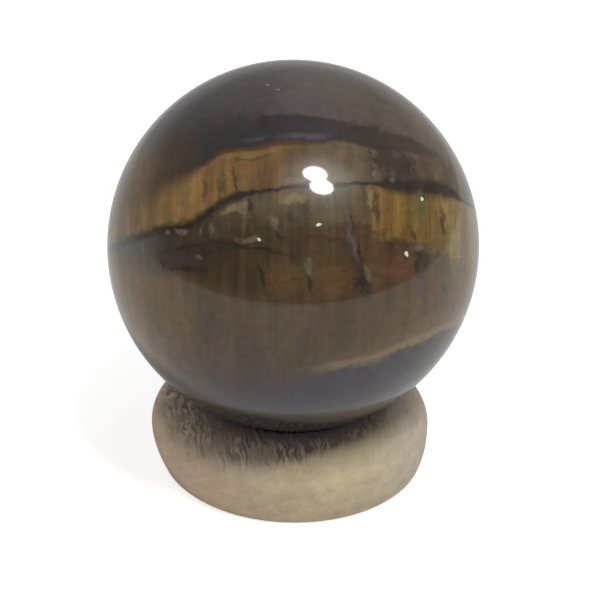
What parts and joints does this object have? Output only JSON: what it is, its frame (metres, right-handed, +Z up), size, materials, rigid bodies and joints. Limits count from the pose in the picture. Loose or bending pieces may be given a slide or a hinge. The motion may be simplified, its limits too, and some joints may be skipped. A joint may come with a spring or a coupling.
{
  "type": "decorative stone sphere on ring stand",
  "caption": "Polished ball of banded golden-brown tiger's-eye stone, resting loose in a small turned pale-wood ring that keeps it from rolling.",
  "frame": {"origin": "centre of the ring's foot, on the surface that it stands on", "axes": "+Z up along the common axis of ring and ball; the side that the picture shows faces -Y"},
  "size_m": [0.04, 0.04, 0.0462],
  "materials": {
    "polished_stone": "mirror-polished fibrous quartz, golden bands between dark blue-black and brown ones",
    "bare_wood": "bare pale wood, sanded on the wall, torn and darker on the end grain round the seat"
  },
  "bodies": {
    "root": {"wooden_ring_stand": "bare_wood", "stone_ball": "polished_stone"}
  },
  "joints": []
}
